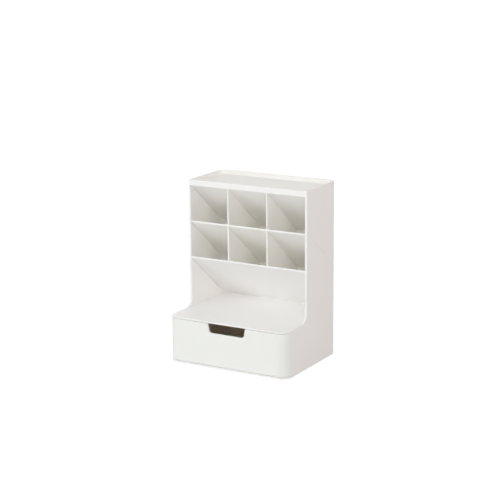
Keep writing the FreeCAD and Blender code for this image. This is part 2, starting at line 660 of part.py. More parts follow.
def drawer_front_screws(doc):
    piece = Piece(doc, "drawer_front_screws")
    places = front_boss_places()
    shanks = [Circle(x, z, "Sizes.front_screw_radius") for x, z in places]
    heads = [Circle(x, z, "Sizes.screw_head_radius") for x, z in places]
    tip_y = f"({FRONT_TIP_Y} + Sizes.pilot_spare / 2)"
    piece.pad("XZ", tip_y, span(tip_y, FRONT_HEAD_Y), *shanks)
    piece.pad("XZ", FRONT_HEAD_Y, "Sizes.screw_head_height", *heads)
    crosses = [cross_recess(x, z) for x, z in places]
    head_top = f"({FRONT_HEAD_Y} + Sizes.screw_head_height)"
    piece.cut("XZ", f"({head_top} - Sizes.cross_depth)", "Sizes.cross_depth", *crosses)


def build(doc):
    base_plate(doc)
    feet(doc)
    for side in SIDES:
        side_panel(doc, side)
        divider(doc, side)
        runner(doc, side)
    back_panel(doc)
    sloped_plates(doc)
    top_tray(doc)
    shelf_plate(doc)
    drawer_stop(doc)
    base_screws(doc)
    drawer_front(doc)
    drawer_box(doc)
    drawer_front_screws(doc)


def check(doc, bodies):
    """Stop on any object that failed and any shape that isn't sound."""
    for item in doc.Objects:
        if "Invalid" in item.State or "Error" in item.State:
            raise ValueError(f"{item.Name} is in state {item.State}")
    for body in bodies:
        if body.Shape.isNull() or not body.Shape.isValid():
            raise ValueError(f"{body.Label} has no sound shape")


def write(bodies):
    os.makedirs("parts", exist_ok=True)
    for body in bodies:
        body.Shape.exportStep(f"parts/{body.Label}.step")
        solids = len(body.Shape.Solids)
        print(f"{body.Label}: {solids} solid(s), {body.Shape.Volume / 1000:.2f} cm3")


def main():
    doc = FreeCAD.newDocument("organizer")
    add_sizes(doc)
    build(doc)
    doc.recompute()
    bodies = [item for item in doc.Objects if item.TypeId == "PartDesign::Body"]
    check(doc, bodies)
    write(bodies)


main()
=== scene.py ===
"""White desk organizer with pockets, a top tray and a drawer: surfaces, screws, feet and studio.

Lengths are in metres, in the part's own frame: X to the right, Y to the back and Z up, with the
origin on the desk, in the middle of the footprint.
"""

import json
import math

import bmesh
import bpy
from mathutils import Matrix, Vector
from mathutils.bvhtree import BVHTree


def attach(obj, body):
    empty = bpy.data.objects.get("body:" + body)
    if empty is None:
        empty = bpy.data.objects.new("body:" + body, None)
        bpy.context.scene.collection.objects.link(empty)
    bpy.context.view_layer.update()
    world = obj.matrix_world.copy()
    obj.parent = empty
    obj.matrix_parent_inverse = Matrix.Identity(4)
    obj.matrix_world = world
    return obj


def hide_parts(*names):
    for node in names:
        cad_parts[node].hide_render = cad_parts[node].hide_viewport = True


MM = 0.001

# Moulded pieces: CAD node, radius of its free edges in millimetres, finish.
MOULDED = {
    "base_plate": (0.5, "housing_plastic"),
    "left_side_panel": (0.5, "side_plastic"),
    "right_side_panel": (0.5, "side_plastic"),
    "back_panel": (0.4, "pocket_painted_shade_plastic"),
    "shelf_plate": (0.6, "shelf_painted_light_plastic"),
    "top_tray": (0.5, "housing_plastic"),
    "upper_plate": (0.4, "housing_plastic"),
    "middle_plate": (0.4, "pocket_painted_shade_plastic"),
    "lower_plate": (0.4, "shelf_painted_light_plastic"),
    "left_divider": (0.4, "pocket_painted_shade_plastic"),
    "right_divider": (0.4, "pocket_painted_shade_plastic"),
    "left_runner": (0.3, "housing_plastic"),
    "right_runner": (0.3, "housing_plastic"),
    "drawer_stop": (0.3, "housing_plastic"),
    "drawer_front": (0.6, "front_painted_shade_plastic"),
    "drawer_box": (0.4, "drawer_painted_shade_plastic"),
}
# Points closer than this become one.
MERGE = 1e-6
# Angles between two faces: above the first their edge is sharp, below the second they are shaded
# as one surface, and below the third they are one flat face.
SHARP_ANGLE = math.radians(30)
SMOOTH_ANGLE = math.radians(35)
FLAT_ANGLE = math.radians(0.3)
# An edge is held where another piece lies this close to it, tried at every step along it.
CONTACT = 0.2 * MM
SAMPLE_STEP = 1.0 * MM
# The length up to which a closed loop of edges counts as a screw hole or a boss.
SMALL_LOOP = 26.0 * MM
ROUND_STEPS = 3
# Rims of the joints along the sloping plates: least length, tight ends, and radius of their edges.
SEAM_LENGTH = 20.0 * MM
SEAM_END = 2.0 * MM
SEAM_RADIUS = 0.9 * MM
SEAM_STEPS = 5
# How far a rim may run across, and must run both back and up, as shares of its length.
SEAM_ACROSS = 0.01
SEAM_SLOPE = 0.3
# A flat face can't hold a closed hole, so the walls of the side panels are parted at this depth.
PANEL_CUT = 20.0 * MM

# Plastics: light and dark tone, then what they all share. All pieces are one white plastic, so
# their tones differ only as painted light and shade: the shelf tone is lighter and bluer as painted
# light, the pocket tone yellower so that deep shade turns warmer, and the front tone darker and
# greener as painted shade.
PLASTICS = {
    "housing_plastic": ((0.932, 0.922, 0.897), (0.918, 0.908, 0.883)),
    "shelf_painted_light_plastic": ((0.934, 0.926, 0.912), (0.92, 0.912, 0.898)),
    "pocket_painted_shade_plastic": ((0.93, 0.92, 0.882), (0.916, 0.906, 0.868)),
    "side_plastic": ((0.932, 0.922, 0.897), (0.918, 0.908, 0.883)),
    "front_painted_shade_plastic": ((0.909, 0.914, 0.868), (0.895, 0.9, 0.854)),
    # The drawer box is painted a warm tan as the colour of shade, so that its deep shade seen
    # through the drawer front's slot turns brown.
    "drawer_painted_shade_plastic": ((0.955, 0.888, 0.79), (0.943, 0.874, 0.776)),
}
PLASTIC_ROUGHNESS = (0.55, 0.65)
PLASTIC_GLOSS = 0.2
CLOUD_SCALE = 14.0
GLOSS_SCALE = 55.0
GRAIN_SCALE = 1500.0
GRAIN_DEPTH = 0.004 * MM
WAVE_SCALE = 30.0
WAVE_DEPTH = 0.03 * MM
OUTER_SKIN = 89.3 * MM
# Shallow sinks on the outer skin, each both a dent and a painted shade line along it: start and end
# in Y and Z, and half width.
SIDE_SINKS_AND_PAINTED_SHADE = (((-2.6 * MM, 174.1 * MM), (40.0 * MM, 143.0 * MM), 1.3 * MM),)
SINK_DEPTH = 0.05 * MM
SINK_FADE = 6.0 * MM
# Painted shade: the darker colour that the plastic is blended to along a sink.
SINK_PAINTED_SHADE = (0.87, 0.86, 0.835)

# Rubber and zinc-plated steel: light and dark tone, the range of roughness, and the patterns.
RUBBER_TONES = ((0.075, 0.073, 0.07), (0.05, 0.05, 0.05))
RUBBER_ROUGHNESS = (0.75, 0.92)
RUBBER_GLOSS = 0.3
RUBBER_BLOOM_SCALE = 180.0
PIT_SCALE = 2600.0
PIT_DEPTH = 0.04 * MM
STEEL_TONES = ((0.66, 0.66, 0.64), (0.52, 0.52, 0.53))
STEEL_ROUGHNESS = (0.22, 0.42)
STEEL_BLOOM_SCALE = 600.0
SCRATCH_SCALE = 4000.0
SCRATCH_DEPTH = 0.01 * MM

# Screws and feet: sizes in metres, turns in radians.
BASE_SCREWS = {
    "Head Radius": 2.6 * MM,
    "Head Height": 1.2 * MM,
    "Shank Radius": 1.3 * MM,
    "Shank Length": 11.0 * MM,
    "Pitch": 1.1 * MM,
    "Thread Depth": 0.25 * MM,
    "Cross Width": 0.8 * MM,
    "Cross Length": 3.0 * MM,
    "Cross Depth": 0.7 * MM,
    "Across": 168.0 * MM,
    "Along": 88.0 * MM,
    "Centre": (0.0, 4.0 * MM, 2.2 * MM),
    "Turn": (math.pi, 0.0, 0.0),
}
FRONT_SCREWS = {
    **BASE_SCREWS,
    "Shank Radius": 1.4 * MM,
    "Shank Length": 6.3 * MM,
    "Across": 120.0 * MM,
    "Along": 24.0 * MM,
    "Centre": (0.0, -64.0 * MM, 32.0 * MM),
    "Turn": (-math.pi / 2, 0.0, 0.0),
}
FEET = {
    "Radius": 6.0 * MM,
    "Height": 1.6 * MM,
    "Across": 146.0 * MM,
    "Along": 110.0 * MM,
    "Centre": (0.0, 0.0, 0.0),
    "Turn": (0.0, 0.0, 0.0),
}

# Camera: place, the point it looks at, roll and lens, for a square frame.
CAMERA_PLACE = (0.994331, -1.730434, 0.627788)
CAMERA_AIM = (-0.0044, 0.0, 0.14857)
CAMERA_ROLL = math.radians(-0.44)
CAMERA_LENS = 110.57
CAMERA_SENSOR = 36.0
CAMERA_REACH = 20.0

# Lamps: azimuth and elevation in degrees, distance, width, height, power in watts, colour.
LAMPS = {
    "back_softbox": (180.0, 4.0, 1.6, 0.8, 0.4, 4.0, (1.0, 1.0, 1.0)),
    "back_left_softbox": (-150.0, 35.0, 1.6, 1.0, 1.0, 5.05, (1.0, 0.985, 0.96)),
    "front_softbox": (-20.0, 30.0, 1.6, 1.0, 1.0, 2.98, (0.796, 0.904, 1.0)),
    "front_right_softbox": (35.0, 25.0, 1.6, 1.0, 1.0, 9.8, (1.0, 0.972, 0.993)),
    "front_left_softbox": (-50.0, 25.0, 1.6, 1.0, 1.0, 5.53, (0.961, 1.0, 0.961)),
    "low_softbox": (-34.0, 6.0, 1.6, 0.7, 0.34, 3.61, (0.973, 0.971, 1.0)),
    "right_softbox": (100.0, 25.0, 1.6, 1.0, 1.0, 6.14, (1.0, 0.92, 0.896)),
    "overhead_softbox": (0.0, 85.0, 1.6, 1.4, 1.4, 6.88, (1.0, 0.978, 0.947)),
}
WORLD_STRENGTH = 0.06
BOUNCES = 12
LAMP_AIM = Vector((0.0, 0.0, 0.11))
WHITE = (1.0, 1.0, 1.0, 1.0)

# Floor: the tone that lights the object, the one that takes its shadow, and the glow that shows
# white, which grows from the near distance to the far one.
FLOOR_RADIUS = 6.0
FLOOR_SEGMENTS = 96
FLOOR_TONE = (0.8, 0.8, 0.8, 1.0)
SHADOW_TONE = (0.3, 0.3, 0.3, 1.0)
GLOW_DISTANCE = (0.6, 1.6)
GLOW_STRENGTH = (0.86, 1.0)

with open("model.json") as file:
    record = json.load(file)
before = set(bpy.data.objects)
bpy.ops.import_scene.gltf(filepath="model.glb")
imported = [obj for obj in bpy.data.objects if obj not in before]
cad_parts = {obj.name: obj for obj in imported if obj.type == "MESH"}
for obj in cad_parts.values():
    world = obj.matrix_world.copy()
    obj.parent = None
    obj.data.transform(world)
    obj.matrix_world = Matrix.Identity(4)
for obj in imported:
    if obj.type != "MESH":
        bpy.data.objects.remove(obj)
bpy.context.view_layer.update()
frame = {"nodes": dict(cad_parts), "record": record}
NODES = frame["nodes"]
BODY_OF = {
    node: body
    for body, members in frame["record"]["behaviour"]["bodies"].items()
    for node in members
}


# Moulded pieces


def surface_tree():
    """Every face of the part in one search tree, with the node that each face belongs to."""
    points, faces, owners = [], [], []
    for name, node in NODES.items():
        start = len(points)
        points += [vertex.co.copy() for vertex in node.data.vertices]
        for polygon in node.data.polygons:
            faces.append([start + index for index in polygon.vertices])
            owners.append(name)
    return BVHTree.FromPolygons(points, faces), owners


def meets_neighbour(tree, owners, point, node):
    """Whether another piece lies against this point of a node."""
    return any(owners[index] != node for _, _, index, _ in tree.find_nearest_range(point, CONTACT))


def split_at_contacts(edge, node, tree, owners):
    """Cut an edge where its contact with other pieces starts or ends, and return its free parts."""
    head, tail = edge.verts
    start, end = head.co.copy(), tail.co.copy()
    steps = max(1, round((end - start).length / SAMPLE_STEP))
    held = [
        meets_neighbour(tree, owners, start.lerp(end, (step + 0.5) / steps), node)
        for step in range(steps)
    ]
    free = []
    done = 0.0
    for step in range(1, steps):
        if held[step] == held[step - 1]:
            continue
        share = (step / steps - done) / (1.0 - done)
        part, vertex = bmesh.utils.edge_split(edge, head, share)
        if head not in part.verts:
            part, edge = edge, part
        if not held[step - 1]:
            free.append(part)
        head = vertex
        done = step / steps
    if not held[-1]:
        free.append(edge)
    return free


def is_seam(edge):
    """Whether an edge is the rim of a sloping plate's joint, which shows as a fine line."""
    along = edge.verts[1].co - edge.verts[0].co
    upright = abs(along.x) < SEAM_ACROSS * along.length
    slanted = min(abs(along.y), abs(along.z)) > SEAM_SLOPE * along.length
    return upright and slanted and along.length > SEAM_LENGTH and edge.is_convex


def middle_of(edge):
    """Cut a short piece off each end where a seam stops, and return what lies between."""
    for end in list(edge.verts):
        if any(other is not edge and is_seam(other) for other in end.link_edges):
            continue
        part, _ = bmesh.utils.edge_split(edge, end, SEAM_END / edge.calc_length())
        if end not in part.verts:
            edge = part
    return edge


def without_small_loops(edges):
    """The edges less those round screw holes and bosses, which are short closed loops."""
    # A dictionary keeps its order, which a set doesn't, so each run lists the edges alike.
    left = dict.fromkeys(edges)
    kept = []
    while left:
        chain = [left.popitem()[0]]
        for edge in chain:
            for vertex in edge.verts:
                for other in vertex.link_edges:
                    if other in left:
                        del left[other]
                        chain.append(other)
        ends = {}
        for edge in chain:
            for vertex in edge.verts:
                ends[vertex] = ends.get(vertex, 0) + 1
        closed = all(count == 2 for count in ends.values())
        if not closed or sum(edge.calc_length() for edge in chain) > SMALL_LOOP:
            kept += chain
    return kept


def sharp_edges(bm):
    """The edges where two faces meet at more than a slight angle."""
    return [edge for edge in bm.edges if edge.is_manifold and edge.calc_face_angle() > SHARP_ANGLE]


def round_off(bm, edges, radius, steps):
    """Round edges with a number of narrow faces."""
    bmesh.ops.bevel(
        bm,
        geom=edges,
        offset=radius,
        offset_type="OFFSET",
        segments=steps,
        profile=0.5,
        affect="EDGES",
        clamp_overlap=False,
    )


def part_across(bm, depth):
    """Part every face at one depth, and mark the new edges so that they are kept."""
    everything = bm.verts[:] + bm.edges[:] + bm.faces[:]
    across = {"plane_co": (0.0, depth, 0.0), "plane_no": (0.0, 1.0, 0.0)}
    for item in bmesh.ops.bisect_plane(bm, geom=everything, **across)["geom_cut"]:
        if isinstance(item, bmesh.types.BMEdge):
            item.seam = True


def moulding(node, radius, tree, owners):
    """A node's shape as a moulding: flat faces whole and free edges rounded, joints left tight."""
    bm = bmesh.new()
    bm.from_mesh(NODES[node].data)
    bmesh.ops.remove_doubles(bm, verts=bm.verts, dist=MERGE)
    if node.endswith("side_panel"):
        part_across(bm, PANEL_CUT)
    bmesh.ops.dissolve_limit(
        bm, angle_limit=FLAT_ANGLE, verts=bm.verts, edges=bm.edges, delimit={"SEAM"}
    )
    free = []
    for edge in sharp_edges(bm):
        free += split_at_contacts(edge, node, tree, owners)
    round_off(bm, without_small_loops(free), radius * MM, ROUND_STEPS)
    seams = [edge for edge in sharp_edges(bm) if is_seam(edge)]
    round_off(bm, [middle_of(edge) for edge in seams], SEAM_RADIUS, SEAM_STEPS)
    bmesh.ops.remove_doubles(bm, verts=bm.verts, dist=MERGE)
    return mesh_object(f"{node}_moulding", bm)


def listed_by_place(bm):
    """Points and faces in order of place, because the rounding lists them anew in each run."""
    points = sorted(vertex.co[:] for vertex in bm.verts)
    place = {point: index for index, point in enumerate(points)}
    faces = sorted([place[vertex.co[:]] for vertex in face.verts] for face in bm.faces)
    return points, faces


def mesh_object(name, bm):
    """A finished object from a bmesh, smooth over its curves and crisp at its corners."""
    points, faces = listed_by_place(bm)
    mesh = bpy.data.meshes.new(name)
    mesh.from_pydata(points, [], faces)
    bm.clear()
    bm.from_mesh(mesh)
    for face in bm.faces:
        face.smooth = True
    for edge in bm.edges:
        edge.smooth = edge.is_manifold and edge.calc_face_angle() < SMOOTH_ANGLE
    bm.to_mesh(mesh)
    bm.free()
    even_shading(mesh)
    piece = bpy.data.objects.new(name, mesh)
    bpy.context.scene.collection.objects.link(piece)
    return piece


def even_shading(mesh):
    """Let each corner face the mean way of the faces round it that turn little, by their areas."""
    around = [[] for _ in mesh.vertices]
    for face in mesh.polygons:
        for vertex in face.vertices:
            around[vertex].append(face)
    normals = []
    for face in mesh.polygons:
        for vertex in face.vertices:
            total = Vector()
            for other in around[vertex]:
                if other.normal.dot(face.normal) > math.cos(SMOOTH_ANGLE):
                    total += other.area * other.normal
            normals.append(total.normalized())
    mesh.normals_split_custom_set(normals)


# Node trees


def put(tree, kind, inputs=None, **settings):
    """Add a node. Each input is a plain value or an output of another node."""
    node = tree.nodes.new(kind)
    for key, value in settings.items():
        setattr(node, key, value)
    for key, value in (inputs or {}).items():
        if isinstance(value, bpy.types.NodeSocket):
            tree.links.new(value, node.inputs[key])
        else:
            node.inputs[key].default_value = value
    return node


def calc(tree, operation, *values):
    """One step of arithmetic on values or outputs."""
    return put(tree, "ShaderNodeMath", dict(enumerate(values)), operation=operation).outputs[0]


def geometry_tree(name, sizes):
    """A Geometry Nodes tree with a named input for each size, and the outputs of those inputs."""
    tree = bpy.data.node_groups.new(name, "GeometryNodeTree")
    tree.interface.new_socket(name="Geometry", in_out="OUTPUT", socket_type="NodeSocketGeometry")
    for label, value in sizes.items():
        kind = "NodeSocketFloat" if isinstance(value, float) else "NodeSocketVector"
        tree.interface.new_socket(name=label, in_out="INPUT", socket_type=kind)
    given = tree.nodes.new("NodeGroupInput").outputs
    return tree, {label: given[label] for label in sizes}


def finish_tree(tree, shape, material):
    """Turn a tree's instances into plain faces with one material, as its last steps."""
    real = put(tree, "GeometryNodeRealizeInstances", {"Geometry": shape})
    done = put(tree, "GeometryNodeSetMaterial", {"Geometry": real.outputs[0], "Material": material})
    put(tree, "NodeGroupOutput", {"Geometry": done.outputs[0]})


def grown(name, tree, sizes):
    """The plain mesh that a tree makes at these sizes, as a finished object."""
    carrier = bpy.data.objects.new(f"{name}_carrier", bpy.data.meshes.new(f"{name}_carrier"))
    bpy.context.scene.collection.objects.link(carrier)
    modifier = carrier.modifiers.new("grow", "NODES")
    modifier.node_group = tree
    for item in tree.interface.items_tree:
        if item.in_out == "INPUT":
            value = sizes[item.name]
            modifier[item.identifier] = value if isinstance(value, float) else list(value)
    view = bpy.context.evaluated_depsgraph_get()
    mesh = bpy.data.meshes.new_from_object(carrier.evaluated_get(view), depsgraph=view)
    carrier.modifiers.remove(modifier)
    bpy.data.objects.remove(carrier)
    bm = bmesh.new()
    bm.from_mesh(mesh)
    bmesh.ops.remove_doubles(bm, verts=bm.verts, dist=MERGE)
    bmesh.ops.recalc_face_normals(bm, faces=bm.faces)
    piece = mesh_object(name, bm)
    for material in mesh.materials:
        piece.data.materials.append(material)
    return piece


def unit_grid(tree, segments, rows):
    """A grid of one by one with each point's shares of the way round and of the way along."""
    sizes = {"Size X": 1.0, "Size Y": 1.0, "Vertices X": segments + 1, "Vertices Y": rows}
    grid = put(tree, "GeometryNodeMeshGrid", sizes)
    place = put(tree, "GeometryNodeInputPosition").outputs[0]
    centred = put(tree, "ShaderNodeSeparateXYZ", {0: place}).outputs
    return grid, calc(tree, "ADD", centred["X"], 0.5), calc(tree, "ADD", centred["Y"], 0.5)


def turned_form(tree, profile, radius, height, segments):
    """A closed form turned about Z from rows of (radius share, height share), poles included."""
    rows = len(profile)
    grid, around, along = unit_grid(tree, segments, rows)
    turn = calc(tree, "MULTIPLY", around, math.tau)
    along = calc(tree, "MULTIPLY", along, rows - 1.0)
    row = put(tree, "FunctionNodeFloatToInt", {0: along}, rounding_mode="ROUND").outputs[0]
    columns = []
    for column, size in ((0, radius), (1, height)):
        switch = put(tree, "GeometryNodeIndexSwitch", data_type="FLOAT")
        while len(switch.index_switch_items) < rows:
            switch.index_switch_items.new()
        tree.links.new(row, switch.inputs["Index"])
        for index, point in enumerate(profile):
            switch.inputs[index + 1].default_value = point[column]
        columns.append(calc(tree, "MULTIPLY", switch.outputs[0], size))
    return turned_faces(tree, grid, turn, *columns)


def turned_faces(tree, grid, turn, radius, height):
    """Bend a grid round Z and close its seam and its poles."""
    across = calc(tree, "MULTIPLY", radius, calc(tree, "COSINE", turn))
    deep = calc(tree, "MULTIPLY", radius, calc(tree, "SINE", turn))
    place = put(tree, "ShaderNodeCombineXYZ", {"X": across, "Y": deep, "Z": height}).outputs[0]
    bent = put(tree, "GeometryNodeSetPosition", {"Geometry": grid.outputs[0], "Position": place})
    inputs = {"Geometry": bent.outputs[0], "Distance": MERGE}
    return put(tree, "GeometryNodeMergeByDistance", inputs).outputs[0]


def set_out(tree, shape, given, turn=None):
    """Copies of a shape at the four corners of a rectangle, then turned and moved into place."""
    corners = put(
        tree,
        "GeometryNodeMeshGrid",
        {"Size X": given["Across"], "Size Y": given["Along"], "Vertices X": 2, "Vertices Y": 2},
    )
    inputs = {"Points": corners.outputs[0], "Instance": shape}
    if turn is not None:
        inputs["Rotation"] = put(tree, "ShaderNodeCombineXYZ", {"Z": turn}).outputs[0]
    copies = put(tree, "GeometryNodeInstanceOnPoints", inputs)
    moved = put(
        tree,
        "GeometryNodeTransform",
        {"Geometry": copies.outputs[0], "Translation": given["Centre"], "Rotation": given["Turn"]},
    )
    return moved.outputs[0]


# Screws and feet

# Outlines from axis to axis, as shares of the radius and of the height.
PAN_HEAD = (
    (0.0, 0.0), (0.96, 0.0), (1.0, 0.06), (1.0, 0.38), (0.985, 0.56), (0.94, 0.73),
    (0.86, 0.87), (0.74, 0.96), (0.60, 1.0), (0.30, 1.0), (0.0, 1.0),
)
HEAD_SEGMENTS = 40
THREAD_SEGMENTS = 20
THREAD_ROWS = 90
# A shank comes to its point over one part in this many of its length.
POINT_SHARE = 6.0
SPIN_SEED = 7

FOOT_PROFILE = (
    (0.0, 1.0), (0.97, 1.0), (1.0, 0.97), (1.0, 0.30), (0.985, 0.16), (0.95, 0.06), (0.89, 0.0),
    (0.80, 0.0), (0.785, 0.10), (0.745, 0.10), (0.73, 0.0), (0.64, 0.0), (0.625, 0.10),
    (0.585, 0.10), (0.57, 0.0), (0.48, 0.0), (0.465, 0.10), (0.425, 0.10), (0.41, 0.0),
    (0.2, 0.0), (0.0, 0.0),
)
FOOT_SEGMENTS = 64


def threaded_shank(tree, given):
    """A pointed shank below its head, with a thread cut into it."""
    grid, around, along = unit_grid(tree, THREAD_SEGMENTS, THREAD_ROWS)
    depth = calc(tree, "MULTIPLY", along, given["Shank Length"])
    turns = calc(tree, "DIVIDE", depth, given["Pitch"])
    wave = calc(tree, "FRACT", calc(tree, "SUBTRACT", turns, around))
    ridge = calc(tree, "ABSOLUTE", calc(tree, "SUBTRACT", calc(tree, "MULTIPLY", wave, 2.0), 1.0))
    cut = calc(tree, "MULTIPLY", calc(tree, "SUBTRACT", 1.0, ridge), given["Thread Depth"])
    full = calc(tree, "SUBTRACT", given["Shank Radius"], cut)
    left = calc(tree, "MULTIPLY", calc(tree, "SUBTRACT", 1.0, along), POINT_SHARE)
    point = calc(tree, "MINIMUM", left, 1.0)
    open_end = calc(tree, "GREATER_THAN", along, 0.5 / THREAD_ROWS)
    radius = calc(tree, "MULTIPLY", calc(tree, "MULTIPLY", full, point), open_end)
    turn = calc(tree, "MULTIPLY", around, math.tau)
    return turned_faces(tree, grid, turn, radius, calc(tree, "MULTIPLY", depth, -1.0))


def screw_tree(sizes, material):
    """Four pan-head screws with a cross recess, each turned by its own fixed amount."""
    tree, given = geometry_tree("pan_head_screws", sizes)
    head = turned_form(tree, PAN_HEAD, given["Head Radius"], given["Head Height"], HEAD_SEGMENTS)
    bars = []
    deep = calc(tree, "MULTIPLY", given["Cross Depth"], 2.0)
    lift = put(tree, "ShaderNodeCombineXYZ", {"Z": given["Head Height"]}).outputs[0]
    for long_side, short_side in (("X", "Y"), ("Y", "X")):
        size = put(
            tree,
            "ShaderNodeCombineXYZ",
            {long_side: given["Cross Length"], short_side: given["Cross Width"], "Z": deep},
        )
        bar = put(tree, "GeometryNodeMeshCube", {"Size": size.outputs[0]})
        inputs = {"Geometry": bar.outputs[0], "Translation": lift}
        bars.append(put(tree, "GeometryNodeTransform", inputs))
    recessed = put(
        tree, "GeometryNodeMeshBoolean", {"Mesh 1": head}, operation="DIFFERENCE", solver="EXACT"
    )
    for bar in bars:
        tree.links.new(bar.outputs[0], recessed.inputs["Mesh 2"])
    whole = put(tree, "GeometryNodeJoinGeometry")
    tree.links.new(recessed.outputs[0], whole.inputs[0])
    tree.links.new(threaded_shank(tree, given), whole.inputs[0])
    # Of the node's plain numbers, input 3 is the largest turn and output 1 the result.
    inputs = {"Seed": SPIN_SEED, 3: math.pi}
    spin = put(tree, "FunctionNodeRandomValue", inputs, data_type="FLOAT")
    finish_tree(tree, set_out(tree, whole.outputs[0], given, spin.outputs[1]), material)
    return tree


def foot_tree(sizes, material):
    """Four round feet with a soft rim and rings moulded into the face they stand on."""
    tree, given = geometry_tree("ringed_feet", sizes)
    foot = turned_form(tree, FOOT_PROFILE, given["Radius"], given["Height"], FOOT_SEGMENTS)
    finish_tree(tree, set_out(tree, foot, given), material)
    return tree


# Materials


def blank_material(name):
    """A new material and its node tree, with nothing in it yet."""
    material = bpy.data.materials.new(name)
    material.use_nodes = True
    material.node_tree.nodes.clear()
    return material, material.node_tree


def noise(tree, place, scale, detail=2.0):
    """A noise pattern over the piece, with this many waves in a metre."""
    inputs = {"Vector": place, "Scale": scale, "Detail": detail}
    return put(tree, "ShaderNodeTexNoise", inputs).outputs[0]


def blend_colour(tree, share, light, dark):
    """A colour between two others by a share of the second."""
    if not isinstance(light, bpy.types.NodeSocket):
        light = (*light, 1.0)
    # The node's colours go in at 6 and 7 and come out at 2.
    inputs = {0: share, 6: light, 7: (*dark, 1.0)}
    return put(tree, "ShaderNodeMix", inputs, data_type="RGBA").outputs[2]


def spread(tree, share, low, high):
    """A share from 0 to 1 as a number from low to high."""
    inputs = {"Value": share, "To Min": low, "To Max": high}
    return put(tree, "ShaderNodeMapRange", inputs).outputs[0]


def eased(tree, value, source, result):
    """A value taken smoothly from one range to another."""
    inputs = {
        "Value": value,
        "From Min": source[0],
        "From Max": source[1],
        "To Min": result[0],
        "To Max": result[1],
    }
    curve = put(tree, "ShaderNodeMapRange", inputs, interpolation_type="SMOOTHSTEP")
    return curve.outputs[0]


def dress(tree, **inputs):
    """The shader of a material, with its fixed values and its patterns."""
    named = {key.replace("_", " "): value for key, value in inputs.items()}
    shader = put(tree, "ShaderNodeBsdfPrincipled", named)
    put(tree, "ShaderNodeOutputMaterial", {"Surface": shader.outputs[0]})


def bumps(tree, height, distance=1.0):
    """The normals of a skin with this height pattern, in units of a distance in metres."""
    inputs = {"Height": height, "Strength": 1.0, "Distance": distance}
    return put(tree, "ShaderNodeBump", inputs).outputs[0]


def moulded_plastic(name, light, dark, sinks=()):
    """Satin moulded plastic: faint clouds, uneven gloss, a fine even grain and shallow sinks with
    painted shade along them.
    """
    material, tree = blank_material(name)
    place = put(tree, "ShaderNodeTexCoord").outputs["Object"]
    colour = blend_colour(tree, noise(tree, place, CLOUD_SCALE, detail=3.0), light, dark)
    gloss = spread(tree, noise(tree, place, GLOSS_SCALE), *PLASTIC_ROUGHNESS)
    height = calc(tree, "MULTIPLY", noise(tree, place, GRAIN_SCALE), GRAIN_DEPTH)
    waves = calc(tree, "MULTIPLY", noise(tree, place, WAVE_SCALE), WAVE_DEPTH)
    height = calc(tree, "ADD", height, waves)
    for sink in sinks:
        share = sink_and_painted_shade_share(tree, place, *sink)
        height = calc(tree, "SUBTRACT", height, calc(tree, "MULTIPLY", share, SINK_DEPTH))
        # Painted shade: the colour darkens along the sink line.
        colour = blend_colour(tree, share, colour, SINK_PAINTED_SHADE)
    dress(
        tree,
        Base_Color=colour,
        Roughness=gloss,
        Normal=bumps(tree, height),
        Specular_IOR_Level=PLASTIC_GLOSS,
    )
    return material


def sink_and_painted_shade_share(tree, place, start, end, width):
    """1 where the skin has sunk most, along a line from its start to its end in Y and Z; it sets
    both the dent and its painted shade.
    """
    run = (end[0] - start[0], end[1] - start[1])
    length = math.hypot(*run)
    along = (run[0] / length, run[1] / length)
    point = put(tree, "ShaderNodeSeparateXYZ", {0: place}).outputs
    y = calc(tree, "SUBTRACT", point["Y"], start[0])
    z = calc(tree, "SUBTRACT", point["Z"], start[1])
    y_across, z_across = calc(tree, "MULTIPLY", y, along[1]), calc(tree, "MULTIPLY", z, along[0])
    y_along, z_along = calc(tree, "MULTIPLY", y, along[0]), calc(tree, "MULTIPLY", z, along[1])
    off = calc(tree, "DIVIDE", calc(tree, "SUBTRACT", z_across, y_across), width)
    ridge = calc(tree, "EXPONENT", calc(tree, "MULTIPLY", calc(tree, "MULTIPLY", off, off), -1.0))
    travel = calc(tree, "ADD", y_along, z_along)
    past = calc(tree, "ABSOLUTE", calc(tree, "SUBTRACT", travel, length / 2))
    inside = eased(tree, past, (length / 2 - SINK_FADE, length / 2), (1.0, 0.0))
    outside = calc(tree, "GREATER_THAN", calc(tree, "ABSOLUTE", point["X"]), OUTER_SKIN)
    return calc(tree, "MULTIPLY", calc(tree, "MULTIPLY", ridge, inside), outside)


def soft_rubber(name):
    """Matt rubber with a dusty bloom and a fine pitted skin."""
    material, tree = blank_material(name)
    place = put(tree, "ShaderNodeTexCoord").outputs["Object"]
    bloom = noise(tree, place, RUBBER_BLOOM_SCALE, detail=4.0)
    pits = noise(tree, place, PIT_SCALE)
    dress(
        tree,
        Base_Color=blend_colour(tree, bloom, *RUBBER_TONES),
        Roughness=spread(tree, bloom, *RUBBER_ROUGHNESS),
        Normal=bumps(tree, pits, PIT_DEPTH),
        Specular_IOR_Level=RUBBER_GLOSS,
    )
    return material


def plated_steel(name):
    """Bright zinc plating with a faint patchy bloom and fine scratches."""
    material, tree = blank_material(name)
    place = put(tree, "ShaderNodeTexCoord").outputs["Object"]
    bloom = noise(tree, place, STEEL_BLOOM_SCALE, detail=3.0)
    scratches = noise(tree, place, SCRATCH_SCALE, detail=4.0)
    dress(
        tree,
        Base_Color=blend_colour(tree, bloom, *STEEL_TONES),
        Roughness=spread(tree, bloom, *STEEL_ROUGHNESS),
        Normal=bumps(tree, scratches, SCRATCH_DEPTH),
        Metallic=1.0,
    )
    return material


# Studio


def aim(place, target, roll=0.0):
    """World matrix of a lamp or camera at a place, looking at a target."""
    direction = (Vector(target) - Vector(place)).normalized()
    turn = direction.to_track_quat("-Z", "Y").to_matrix().to_4x4()
    return Matrix.Translation(Vector(place)) @ turn @ Matrix.Rotation(roll, 4, "Z")


